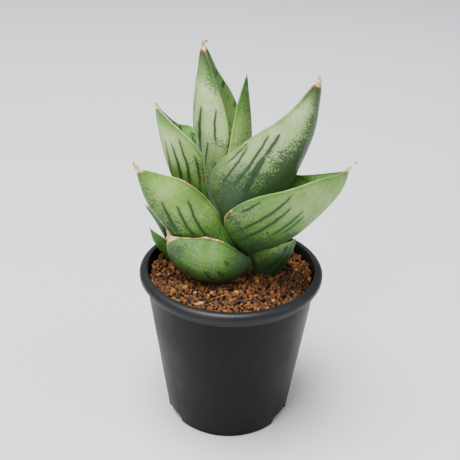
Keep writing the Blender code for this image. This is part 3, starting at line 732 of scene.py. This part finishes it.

# For each leaf:
# lines: dark lines as (s, t) from, (s, t) to and half width in mm, on the half that faces the front
# mirror: whether the other half carries them too, mirrored and shifted
# tone: rows of t and the skin's tone, one number or five across, partly painted shade, mostly darker towards
# the base; mottle: the same for how mottled it is
# green: how green the skin is; pale: how pale its margin is; inside: how much darker the inner face is,
# partly as painted shade in the leaf's hollow
# worn: stretches of dried margin, as side, t from, t to and amount; dry: from which t the tip is dried
# thorns: dried points, as offsets from the tip and a radius, in mm
# blunt: how much wider the last few mm are; smooth: passes of smoothing along the leaf
# sway: halves moved aside, as side, push in mm and t from, t to; bend: how far the tip is moved, in mm
LOOKS = {
    "leaf_back_tall": dict(
        lines=(((-0.42, 0.78), (-0.44, 0.48), 0.62), ((-0.82, 0.79), (-0.78, 0.61), 0.32),
               ((-0.22, 0.84), (-0.12, 0.58), 0.22), ((-0.6, 0.62), (-0.5, 0.46), 0.28)),
        tone=((0.0, (0.45, 0.45, 0.4, 0.45, 0.45)), (0.42, (0.55, 0.48, 0.45, 0.45, 0.5)),
              (0.55, (0.72, 0.74, 0.56, 0.62, 0.7)), (0.68, (0.88, 1.02, 0.7, 0.76, 0.8)),
              (0.84, (0.76, 1.02, 0.66, 0.76, 0.8)), (0.91, (0.48, 0.66, 0.46, 0.55, 0.6)),
              (0.96, (0.3, 0.36, 0.3, 0.35, 0.35)), (1.0, (0.22, 0.25, 0.22, 0.25, 0.25))),
        mottle=((0.0, (0.3, 0.3, 0.2, 0.3, 0.3)), (0.5, (0.4, 0.42, 0.3, 0.4, 0.4)),
                (0.62, (0.42, 0.3, 0.2, 0.4, 0.4)), (0.7, (0.35, 0.05, 0.25, 0.3, 0.3)),
                (0.86, (0.35, 0.0, 0.2, 0.1, 0.1)), (0.875, (0.4, 0.1, 0.2, 0.2, 0.2)),
                (0.885, (0.95, 0.92, 0.95, 0.7, 0.7)), (0.897, (0.95, 0.92, 0.95, 0.7, 0.7)),
                (0.91, (0.5, 0.15, 0.3, 0.1, 0.2)), (1.0, (0.8, 0.7, 0.7, 0.5, 0.5))),
        blunt=0.6, green=0.32, pale=0.04, dry=0.985, worn=(),
        thorns=(((-0.2, 0, -1.0, 1.22), (-0.6, 0, 0.6, 0.88), (0.6, 0, 1.9, 0.74), (1.3, 0, 1.2, 0.61),
                 (0.7, 0, 0.7, 0.34)),)),
    "leaf_back_left": dict(
        lines=(((-0.32, 0.85), (-0.05, 0.62), 0.3), ((-0.5, 0.84), (-0.34, 0.58), 0.36),
               ((-0.8, 0.86), (-0.52, 0.56), 0.34), ((-0.85, 0.77), (-0.78, 0.52), 0.28)),
        tone=((0.0, (0.4, 0.4, 0.35, 0.4, 0.4)), (0.5, (0.5, 0.5, 0.4, 0.5, 0.5)),
              (0.68, (0.6, 0.84, 0.58, 0.6, 0.6)), (0.8, (0.62, 1.0, 0.66, 0.7, 0.7)),
              (0.88, (0.5, 0.95, 0.6, 0.6, 0.6)), (0.96, (0.42, 0.4, 0.35, 0.4, 0.4)),
              (1.0, 0.3)),
        mottle=((0.0, (0.4, 0.4, 0.3, 0.4, 0.4)), (0.55, (0.45, 0.45, 0.4, 0.4, 0.4)),
                (0.78, (0.4, 0.2, 0.2, 0.3, 0.3)), (0.86, (0.1, 0.0, 0.1, 0.2, 0.2)),
                (1.0, (0.1, 0.0, 0.0, 0.1, 0.1))),
        blunt=0.3, green=0.72, pale=0.3, dry=0.99, worn=((-1, 0.55, 0.62, 0.9),),
        thorns=(((0.0, 0, -0.8, 0.94), (-0.4, 0, 0.2, 0.68), (-0.3, 0, 0.9, 0.34)),)),
    "leaf_left": dict(
        lines=(((-0.3, 0.76), (-0.09, 0.48), 0.4), ((-0.48, 0.68), (-0.24, 0.37), 0.36),
               ((-0.73, 0.67), (-0.45, 0.3), 0.36)),
        tone=((0.0, (0.3, 0.3, 0.25, 0.3, 0.3)), (0.3, (0.42, 0.38, 0.3, 0.35, 0.35)),
              (0.45, (0.55, 0.55, 0.4, 0.5, 0.5)), (0.62, (0.6, 0.72, 0.46, 0.6, 0.6)),
              (0.8, (0.62, 0.8, 0.46, 0.7, 0.7)), (0.9, (0.5, 0.62, 0.4, 0.6, 0.6)),
              (0.955, (0.36, 0.36, 0.3, 0.4, 0.4)), (1.0, (0.35, 0.3, 0.3, 0.3, 0.3))),
        mottle=((0.0, (0.4, 0.5, 0.6, 0.4, 0.4)), (0.3, (0.3, 0.42, 0.7, 0.4, 0.4)),
                (0.5, (0.2, 0.25, 0.62, 0.5, 0.4)), (0.7, (0.1, 0.12, 0.62, 0.5, 0.4)),
                (0.85, (0.05, 0.1, 0.55, 0.4, 0.3)), (1.0, (0.2, 0.2, 0.3, 0.2, 0.2))),
        blunt=0.2, green=0.78, pale=0.3, dry=0.975,
        worn=((-1, 0.74, 0.985, 0.8), (-1, 0.84, 0.9, 1.0)),
        thorns=(((0.4, 0, -1.2, 1.35), (-0.6, 0, 0.0, 1.22), (-1.5, 0, 1.4, 0.74), (-1.7, 0, 2.2, 0.27)),)),
    # painted light: its tone towards s = -1 is its silvery half made paler still against the shade it lies
    # in; inside=0.0 drops the inner face's darkening
    "leaf_centre": dict(
        lines=(),
        tone=((0.0, (0.9, 0.9, 0.7, 0.5, 0.5)), (0.6, (1.0, 1.0, 0.85, 0.8, 0.85)),
              (0.8, (0.9, 0.8, 0.55, 0.66, 0.8)), (0.88, (0.5, 0.45, 0.4, 0.42, 0.5)),
              (1.0, 0.3)),
        mottle=((0.0, (0.1, 0.1, 0.2, 0.5, 0.3)), (0.75, (0.15, 0.2, 0.5, 0.42, 0.3)),
                (0.88, (0.4, 0.4, 0.5, 0.5, 0.35)), (1.0, 0.3)),
        green=0.5, pale=0.1, inside=0.0, sway=((1, (-3.0, 0.0, 0.0), 0.55, 1.0),), dry=0.99, worn=()),
    "leaf_right_tall": dict(
        lines=(((0.95, 0.62), (0.88, 0.44), 0.2), ((0.9, 0.61), (0.72, 0.37), 0.28),
               ((0.83, 0.71), (0.54, 0.39), 0.36), ((0.68, 0.74), (0.53, 0.58), 0.42),
               ((0.55, 0.61), (0.44, 0.47), 0.85), ((0.46, 0.52), (0.39, 0.4), 0.36),
               ((0.44, 0.52), (0.34, 0.4), 0.32)),
        tone=((0.0, (0.3, 0.3, 0.25, 0.3, 0.35)), (0.36, (0.35, 0.3, 0.22, 0.32, 0.45)),
              (0.45, (0.5, 0.4, 0.35, 0.5, 0.5)), (0.58, (0.5, 0.5, 0.62, 0.84, 0.66)),
              (0.7, (0.5, 0.5, 0.62, 0.82, 0.62)), (0.82, (0.5, 0.5, 0.68, 0.86, 0.6)),
              (0.89, (0.45, 0.5, 0.62, 0.92, 0.55)), (0.935, (0.3, 0.36, 0.45, 0.55, 0.38)),
              (0.96, (0.15, 0.2, 0.22, 0.25, 0.2)), (1.0, 0.2)),
        mottle=((0.0, (0.5, 0.6, 0.8, 0.8, 0.3)), (0.36, (0.5, 0.7, 0.9, 0.75, 0.2)),
                (0.46, (0.5, 0.8, 0.92, 0.55, 0.05)), (0.54, (0.6, 1.0, 0.98, 0.4, 0.0)),
                (0.6, (0.6, 1.0, 0.98, 0.42, 0.0)), (0.65, (0.6, 0.85, 0.75, 0.3, 0.0)),
                (0.7, (0.8, 0.98, 0.95, 0.35, 0.0)), (0.76, (0.7, 0.95, 0.75, 0.15, 0.0)),
                (0.82, (0.8, 0.98, 0.85, 0.1, 0.0)), (0.88, (0.8, 0.9, 0.7, 0.1, 0.0)),
                (0.94, (0.7, 0.8, 0.6, 0.3, 0.2)), (1.0, (0.7, 0.7, 0.7, 0.6, 0.6))),
        blunt=0.3, green=0.15, pale=0.2, dry=0.98, worn=(),
        thorns=(((-0.2, 0, -1.2, 1.35), (0.3, 0, -0.1, 1.08), (0.1, 0, 1.2, 0.47)),)),
    "leaf_right": dict(
        lines=(((0.93, 0.43), (0.88, 0.24), 0.26), ((0.9, 0.61), (0.72, 0.12), 0.36),
               ((0.69, 0.56), (0.48, 0.13), 0.4), ((0.53, 0.6), (0.32, 0.31), 0.36),
               ((0.41, 0.58), (0.27, 0.38), 0.32)),
        tone=((0.0, (0.3, 0.3, 0.2, 0.25, 0.35)), (0.18, (0.35, 0.3, 0.2, 0.34, 0.5)),
              (0.35, (0.45, 0.4, 0.28, 0.5, 0.55)), (0.52, (0.5, 0.5, 0.34, 0.64, 0.56)),
              (0.7, (0.55, 0.55, 0.42, 0.74, 0.56)), (0.84, (0.5, 0.5, 0.46, 0.7, 0.5)),
              (0.93, (0.4, 0.4, 0.38, 0.46, 0.36)), (1.0, 0.3)),
        mottle=((0.0, (0.5, 0.6, 0.8, 0.6, 0.4)), (0.2, (0.5, 0.6, 0.85, 0.5, 0.35)),
                (0.4, (0.4, 0.5, 0.8, 0.2, 0.3)), (0.55, (0.3, 0.4, 0.35, 0.1, 0.25)),
                (0.7, (0.2, 0.3, 0.1, 0.0, 0.1)), (1.0, (0.2, 0.2, 0.2, 0.1, 0.1))),
        blunt=0.1, green=0.62, pale=0.08, inside=0.35, sway=((-1, (-5.5, 0.0, 0.8), 0.42, 0.98),),
        dry=0.975, worn=((1, 0.05, 0.22, 0.6),),
        thorns=(((-0.5, 0, -1.2, 1.49), (0.4, 0, 0.1, 0.94), (1.5, 0, 1.2, 0.27), (2.5, 0, 2.2, 0.24),
                 (3.3, 0, 2.9, 0.81), (3.7, 0, 3.2, 0.54)),)),
    "leaf_front": dict(
        lines=(((-0.47, 0.36), (-0.36, 0.3), 0.45), ((-0.17, 0.42), (0.03, 0.33), 0.38),
               ((-0.1, 0.54), (0.15, 0.45), 0.38), ((0.05, 0.5), (0.25, 0.42), 0.28)),
        tone=((0.0, (0.2, 0.2, 0.15, 0.2, 0.2)), (0.2, (0.26, 0.24, 0.18, 0.2, 0.2)),
              (0.38, (0.4, 0.44, 0.33, 0.28, 0.25)), (0.58, (0.4, 0.47, 0.4, 0.38, 0.32)),
              (0.75, (0.36, 0.42, 0.42, 0.44, 0.38)), (0.9, (0.36, 0.38, 0.36, 0.4, 0.36)),
              (1.0, (0.4, 0.4, 0.4, 0.35, 0.3))),
        mottle=((0.0, (0.5, 0.6, 0.6, 0.5, 0.5)), (0.25, (0.4, 0.5, 0.6, 0.6, 0.5)),
                (0.45, (0.1, 0.15, 0.45, 0.7, 0.5)), (0.62, (0.1, 0.22, 0.5, 0.68, 0.5)),
                (0.78, (0.2, 0.4, 0.66, 0.75, 0.5)), (1.0, (0.3, 0.4, 0.5, 0.6, 0.5))),
        green=0.5, pale=0.2, dry=0.972, worn=((-1, 0.35, 1.0, 1.0),), smooth=90, mirror=False,
        thorns=(((0.6, 0, -1.4, 1.49), (0.2, 0, 0.6, 1.22), (-0.3, 0, 2.2, 0.81), (-1.1, 0, 4.6, 0.27)),
                ((1.6, 0.3, -0.4, 0.8), (0.4, 0, -0.2, 1.0), (-0.6, 0, -1.4, 0.9), (-0.9, 0, -2.6, 0.5)))),
    # painted shade and light: its dark tone is partly painted shade from the leaf over it, and its paler
    # margin at s = 1 is painted light
    "leaf_right_base": dict(
        lines=(((0.7, 0.9), (0.6, 0.3), 0.5), ((0.4, 0.9), (0.3, 0.2), 0.5)),
        tone=((0.0, (0.2, 0.2, 0.2, 0.25, 0.4)), (0.5, (0.2, 0.2, 0.2, 0.24, 0.5)),
              (0.8, (0.26, 0.26, 0.26, 0.34, 0.6)), (1.0, (0.3, 0.3, 0.3, 0.4, 0.55))),
        mottle=((0.0, (0.6, 0.6, 0.6, 0.6, 0.4)), (0.6, (0.6, 0.6, 0.6, 0.6, 0.3)),
                (1.0, (0.3, 0.3, 0.3, 0.3, 0.1))),
        green=0.5, dry=1.1, worn=()),
    "leaf_back_right": dict(
        lines=(((-0.5, 0.8), (-0.4, 0.4), 0.4), ((0.0, 0.8), (0.0, 0.35), 0.4)),
        tone=((0.0, 0.3), (0.4, (0.5, 0.5, 0.45, 0.5, 0.5)),
              (0.8, (0.6, 0.7, 0.6, 0.7, 0.6)), (1.0, 0.4)),
        mottle=((0.0, 0.5), (0.7, (0.3, 0.5, 0.5, 0.3, 0.3)),
                (1.0, 0.2)),
        blunt=0.3, green=0.8, pale=0.2, inside=0.25, dry=0.985, worn=()),
}
for offset_name in ("offset_leaf_upper", "offset_leaf_lower", "offset_leaf_inner"):
    LOOKS[offset_name] = dict(
        lines=(), green=1.0, dry=0.98, worn=(), slot="offset_leaf",
        tone=((0.0, (0.3, 0.25, 0.2, 0.25, 0.3)), (0.5, (0.34, 0.28, 0.22, 0.28, 0.34)),
              (1.0, (0.4, 0.35, 0.3, 0.35, 0.4))),
        mottle=((0.0, 0.3), (1.0, 0.3)))
LOOKS["offset_leaf_upper"]["bend"] = (-2.0, 0.0, 1.0)


def line_group():
    """A shader group: how much of one dark line lies at (U, V), in mm on the skin."""
    tree = bpy.data.node_groups.new("leaf_line", "ShaderNodeTree")
    for name in ("U", "V", "U From", "V From", "U To", "V To", "Half Width"):
        tree.interface.new_socket(name, in_out="INPUT", socket_type="NodeSocketFloat")
    tree.interface.new_socket("Line", in_out="OUTPUT", socket_type="NodeSocketFloat")
    nodes = Nodes(tree)
    given = nodes.add("NodeGroupInput").outputs
    share = nodes.math("DIVIDE", nodes.math("SUBTRACT", given["V"], given["V From"]),
                       nodes.math("SUBTRACT", given["V To"], given["V From"]))
    drift = nodes.times(share, nodes.math("SUBTRACT", given["U To"], given["U From"]))
    centre = nodes.plus(given["U From"], drift)
    off = nodes.math("ABSOLUTE", nodes.math("SUBTRACT", given["U"], centre))
    within = nodes.times(nodes.step(share, -0.03, 0.06), nodes.step(share, 0.7, 1.12, 1.0, 0.0))
    width = nodes.times(given["Half Width"], nodes.step(share, -0.05, 0.35, 0.85, 1.6))
    core = nodes.step(nodes.math("DIVIDE", off, width), 0.6, 1.5, 1.0, 0.0)
    halo = nodes.step(nodes.math("DIVIDE", off, width), 0.8, 3.6, 0.28, 0.0)
    result = nodes.add("NodeGroupOutput")
    nodes.put(result.inputs["Line"], nodes.times(nodes.math("MAXIMUM", core, halo), within))
    return tree


def skin_patterns(nodes):
    """The attributes and noises that the layers of a leaf's skin share."""
    skin = SimpleNamespace(place=nodes.attribute("skin", "Vector"))
    for key in ("along", "inner", "margin", "tone", "mottle", "worn"):
        setattr(skin, key, nodes.attribute(key))
    skin.fibre = nodes.noise(nodes.scaled(skin.place, (1.6, 0.10, 1.0)), 1.0, detail=4.0)
    skin.cloud = nodes.noise(nodes.scaled(skin.place, (0.07, 0.14, 1.0)), 1.0, detail=2.0)
    skin.speck = nodes.noise(nodes.scaled(skin.place, (1.0, 1.35, 1.0)), 1.0, detail=5.0, roughness=0.66)
    skin.fleck = nodes.noise(nodes.scaled(skin.place, (2.2, 1.4, 1.0), (9.0, 3.0, 0.0)), 1.0, detail=4.0,
                             roughness=0.7)
    return skin


def plain_skin(nodes, skin, look):
    """The skin's tone, which is partly painted shade, with soft clouds, fibres and flecks, greener and
    darker towards the margin.
    """
    level = nodes.plus(skin.tone, nodes.step(skin.cloud, 0.3, 0.7, -0.07, 0.07))
    level = nodes.plus(level, nodes.step(skin.fibre, 0.3, 0.7, 0.05, -0.05))
    level = nodes.plus(level, nodes.step(skin.fleck, 0.35, 0.65, 0.035, -0.035))
    level = nodes.plus(level, nodes.step(skin.margin, 2.2, 0.2, 0.0, -0.14))
    green = nodes.plus(look["green"], nodes.step(skin.cloud, 0.35, 0.65, 0.2, -0.2), clamp=True)
    green = nodes.plus(green, nodes.step(skin.margin, 3.0, 0.3, 0.0, 0.35), clamp=True)
    return nodes.mix(green, nodes.ramp(level, SILVER_TONES), nodes.ramp(level, GREEN_TONES))


def mottled(nodes, skin, colour):
    """Dark mottling, with a shade round it, and small grains."""
    spotted = nodes.plus(nodes.times(skin.speck, 0.62), nodes.times(skin.cloud, 0.38))
    spotted = nodes.plus(spotted, nodes.times(skin.mottle, 0.36))
    shade = nodes.times(nodes.step(spotted, 0.58, 0.72), 0.6)
    colour = nodes.mix(shade, colour, nodes.mix(1.0, colour, (0.42, 0.49, 0.42), "MULTIPLY"))
    spots = nodes.step(spotted, 0.675, 0.725)
    colour = nodes.mix(nodes.times(spots, 0.85), colour, MOTTLE_DARK)
    grains = nodes.times(nodes.step(skin.fleck, 0.64, 0.70), 0.5)
    return nodes.mix(grains, colour, GRAIN_DARK)


def lined(nodes, skin, colour, lines):
    """Dark, slightly wavy and ragged lines on the outer face."""
    axes = nodes.add("ShaderNodeSeparateXYZ", {"Vector": skin.place}).outputs
    across, along = axes["X"], axes["Y"]
    wave = nodes.noise(nodes.scaled(skin.place, (0.1, 0.25, 1.0)), 1.0)
    for pattern, reach in ((wave, 1.1), (skin.fleck, 0.7)):
        across = nodes.plus(across, nodes.times(nodes.math("SUBTRACT", pattern, 0.5), reach))
    darkest = 0.0
    for line in lines:
        inputs = dict(zip(("U From", "V From", "U To", "V To", "Half Width"), map(float, line)))
        group = nodes.add("ShaderNodeGroup", node_tree=LINE_GROUP)
        nodes.fill(group, {"U": across, "V": along, **inputs})
        darkest = nodes.math("MAXIMUM", darkest, group.outputs[0])
    outside = nodes.step(skin.inner, 0.2, 0.5, 1.0, 0.0)
    return nodes.mix(nodes.times(nodes.times(darkest, outside), 0.93), colour, LINE_DARK)


def inner_face(nodes, skin, colour, look):
    """The inner face is greener, with broken dark dashes, and darker, partly as painted shade in the leaf's
    hollow.
    """
    dash = nodes.noise(nodes.scaled(skin.place, (0.42, 0.11, 1.0), (4.0, 0.0, 0.0)), 1.0, detail=3.0)
    # painted shade: the inner face is darkened, partly for the shade in the leaf's hollow
    darker = nodes.mix(0.8, colour, (0.55, 0.68, 0.45), "MULTIPLY")
    inside = nodes.mix(0.45, darker, (0.13, 0.25, 0.06))
    inside = nodes.mix(nodes.step(dash, 0.56, 0.64, 0.0, 0.85), inside, LINE_DARK)
    return nodes.mix(nodes.step(skin.inner, 0.6, 0.95, 0.0, look.get("inside", 1.0)), colour, inside)


def worn_margin(nodes, skin, colour, look):
    """The margin: a thin pale line, worn to rust and tan in places."""
    edge_noise = nodes.noise(nodes.scaled(skin.place, (0.2, 0.5, 1.0)), 1.0, detail=4.0)
    pale = nodes.times(nodes.step(skin.margin, 0.36, 0.08), look.get("pale", 0.25))
    colour = nodes.mix(pale, colour, CREAM)
    near = nodes.step(nodes.plus(skin.margin, edge_noise), 1.35, 0.85)
    where = nodes.step(nodes.plus(skin.worn, nodes.times(edge_noise, 0.6)), 0.6, 0.9)
    dried = nodes.mix(nodes.step(edge_noise, 0.4, 0.6), TAN, STRAW)
    dried = nodes.mix(nodes.step(skin.fleck, 0.45, 0.62, 0.0, 0.7), dried, RUST)
    dried = nodes.mix(nodes.step(skin.margin, 0.15, 0.45), dried, RUST)
    return nodes.mix(nodes.times(near, where), colour, dried)


def dried_tip(nodes, skin, colour, look):
    """The dried tip with a rusty border, and how dry each place is."""
    end = nodes.plus(skin.along, nodes.times(nodes.math("SUBTRACT", skin.speck, 0.5), 0.05))
    border = nodes.step(end, look["dry"] - 0.012, look["dry"] - 0.002, 0.0, 0.7)
    dry = nodes.step(end, look["dry"], look["dry"] + 0.008)
    husk = nodes.mix(nodes.step(skin.fleck, 0.4, 0.62), STRAW, TAN)
    return nodes.mix(dry, nodes.mix(border, colour, RUST), husk), dry


def leaf_material(name, look, lines):
    material, nodes, shader, _ = new_material(f"{name}_skin")
    skin = skin_patterns(nodes)
    colour = mottled(nodes, skin, plain_skin(nodes, skin, look))
    if lines:
        colour = lined(nodes, skin, colour, lines)
    colour = inner_face(nodes, skin, colour, look)
    colour = worn_margin(nodes, skin, colour, look)
    colour, dry = dried_tip(nodes, skin, colour, look)
    roughness = nodes.plus(nodes.step(skin.speck, 0.3, 0.8, 0.40, 0.50), nodes.times(dry, 0.3))
    normal = nodes.bump(skin.fleck, 0.15, 0.10 * MM, nodes.bump(skin.fibre, 0.3, 0.22 * MM))
    nodes.fill(shader, {"Base Color": colour, "Roughness": roughness, "Specular IOR Level": 0.24,
                        "Normal": normal})
    return material


# ---------------------------------------------------------------- soil

GRAINS = 2100
GRAIN_RADII = (0.9, 2.1)
GRAIN_CELL = 2.0 * MM
GRAIN_TRIES = 60000
HEAP = 1.2 * MM
HOLLOWS = 0.5 * MM
# The bed under the grains: how far its top lies below the soil's and how far it clears the pot, in mm
BED_DROP = 3.0
BED_CLEARANCE = 1.5
BED_STEPS = 96


def soil_material():
    material, nodes, shader, place = new_material("clay_grains")
    tone = nodes.attribute("tone")
    stops = ((0.0, (0.008, 0.005, 0.003)), (0.07, (0.020, 0.009, 0.004)), (0.14, (0.050, 0.016, 0.003)),
             (0.5, (0.100, 0.031, 0.004)), (0.80, (0.16, 0.053, 0.007)), (0.975, (0.24, 0.092, 0.012)),
             (0.995, (0.46, 0.24, 0.045)))
    dust = nodes.noise(place, 900.0, detail=4.0, roughness=0.7)
    colour = nodes.ramp(tone, stops)
    colour = nodes.mix(nodes.step(dust, 0.45, 0.75, 0.0, 0.45), colour, (0.20, 0.070, 0.009))
    colour = nodes.mix(nodes.step(dust, 0.52, 0.28, 0.0, 0.75), colour, (0.02, 0.010, 0.006))
    normal = nodes.bump(nodes.noise(place, 2400.0), 0.6, 0.15 * MM)
    nodes.fill(shader, {"Base Color": colour, "Roughness": 0.85, "Normal": normal})
    return material


def grain_shape():
    """The points and faces of a ball that each grain starts as."""
    form = bmesh.new()
    bmesh.ops.create_icosphere(form, subdivisions=2, radius=1.0)
    points = np.array([vertex.co for vertex in form.verts])
    faces = np.array([[vertex.index for vertex in face.verts] for face in form.faces])
    form.free()
    return points, faces


def soil_height(x, y):
    """The soil's surface under a point: a slight heap with shallow hollows."""
    reach = math.hypot(x - POT_X, y - POT_Y) / SOIL_RADIUS
    heap = (SOIL_TOP - HEAP) + HEAP * (1 - min(1.0, reach) ** 2)
    return heap + HOLLOWS * noise.noise((x * 90, y * 90, 1.7))


def scatter_grains(dice, leaf_trees):
    """Grains as (x, y, z, radius), tried at random and kept clear of each other and of the leaves."""
    grains = []
    taken = {}
    tries = 0
    while len(grains) < GRAINS and tries < GRAIN_TRIES:
        tries += 1
        radius = GRAIN_RADII[0] + (GRAIN_RADII[1] - GRAIN_RADII[0]) * dice.random() ** 1.7
        radius *= MM
        reach = (SOIL_RADIUS - radius * 0.7) * math.sqrt(dice.random())
        turn = 2 * math.pi * dice.random()
        x, y = POT_X + reach * math.cos(turn), POT_Y + reach * math.sin(turn)
        sunk = dice.choice((0.0, 0.0, 1.1, 2.0)) * MM
        z = soil_height(x, y) - sunk - radius * 0.35
        column, row = int(x / GRAIN_CELL), int(y / GRAIN_CELL)
        close = [grain for dx in range(-2, 3) for dy in range(-2, 3)
                 for grain in taken.get((column + dx, row + dy), ())]
        if any(math.dist(grain[:3], (x, y, z)) < 0.80 * (grain[3] + radius) for grain in close):
            continue
        if any(tree.find_nearest(Vector((x, y, z)))[3] < radius * 0.75 for tree in leaf_trees):
            continue
        grain = (x, y, z, radius)
        grains.append(grain)
        taken.setdefault((column, row), []).append(grain)
    return grains


def make_grains(leaf_trees, material):
    """The loose grains: lumpy, squashed and turned balls in one mesh."""
    dice = random.Random(SEED)
    shape, shape_faces = grain_shape()
    points, faces, tones = [], [], []
    for number, (x, y, z, radius) in enumerate(scatter_grains(dice, leaf_trees)):
        squash = np.array([0.65 + 0.65 * dice.random() for _ in range(3)])
        turn = np.array(Euler([dice.random() * 6.28 for _ in range(3)]).to_matrix())
        lumps = np.array([1 + 0.62 * noise.noise(Vector(point) * 1.2 + Vector((number * 3.7, 0, 0)))
                          + 0.34 * noise.noise(Vector(point) * 2.6 + Vector((0, number * 2.3, 0)))
                          for point in shape])
        points.append((shape * lumps[:, None] * squash) @ turn.T * radius + np.array((x, y, z)))
        faces.append(shape_faces + len(shape) * number)
        tones += [dice.random()] * len(shape)
    grains = add_mesh("soil_grains", np.concatenate(points), np.concatenate(faces).tolist())
    set_float_attribute(grains.data, "tone", tones)
    finish_piece(grains, material, ("soil",))


def make_soil_bed(material):
    """The solid soil under the grains."""
    low, rim, top = soil_low.z / MM, SOIL_RADIUS / MM, SOIL_TOP / MM - BED_DROP
    base = BASE_RADIUS - WALL - BED_CLEARANCE
    outline = [(0.0, top), (rim * 0.5, top - 0.3), (rim - 0.4, top - 1.0), (rim - 0.8, top - 3.0),
               (base, low + 1.0), (base - 1.0, low), (0.0, low)]
    bed = turned("soil_bed", outline, BED_STEPS, (POT_X, POT_Y))
    form = bmesh.new()
    form.from_mesh(bed.data)
    bmesh.ops.remove_doubles(form, verts=form.verts, dist=1e-6)
    bmesh.ops.dissolve_degenerate(form, edges=form.edges, dist=1e-7)
    form.to_mesh(bed.data)
    form.free()
    set_float_attribute(bed.data, "tone", [0.2] * len(bed.data.vertices))
    finish_piece(bed, material)


def rhizome_material():
    material, nodes, shader, place = new_material("rhizome_skin")
    rings = nodes.noise(nodes.scaled(place, (0.3, 0.3, 1.0)), 900.0)
    spots = nodes.noise(place, 500.0, detail=4.0)
    colour = nodes.mix(rings, (0.32, 0.19, 0.09), (0.52, 0.36, 0.19))
    colour = nodes.mix(nodes.step(spots, 0.55, 0.7, 0.0, 0.6), colour, (0.15, 0.08, 0.04))
    nodes.fill(shader, {"Base Color": colour, "Roughness": 0.75, "Normal": nodes.bump(rings, 0.4, 0.3 * MM)})
    return material


# ---------------------------------------------------------------- the whole plant

LINE_GROUP = line_group()
THORN_SKIN = thorn_material()
make_camera()
make_floor()
make_lights()
make_pot()
leaves = [make_leaf(name, look, seed) for seed, (name, look) in enumerate(LOOKS.items())]
leaf_trees = [BVHTree.FromObject(leaf, bpy.context.evaluated_depsgraph_get()) for leaf in leaves]
clay = soil_material()
make_grains(leaf_trees, clay)
make_soil_bed(clay)
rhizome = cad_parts["rhizome"]
rhizome.data.materials.clear()
rhizome.data.materials.append(rhizome_material())
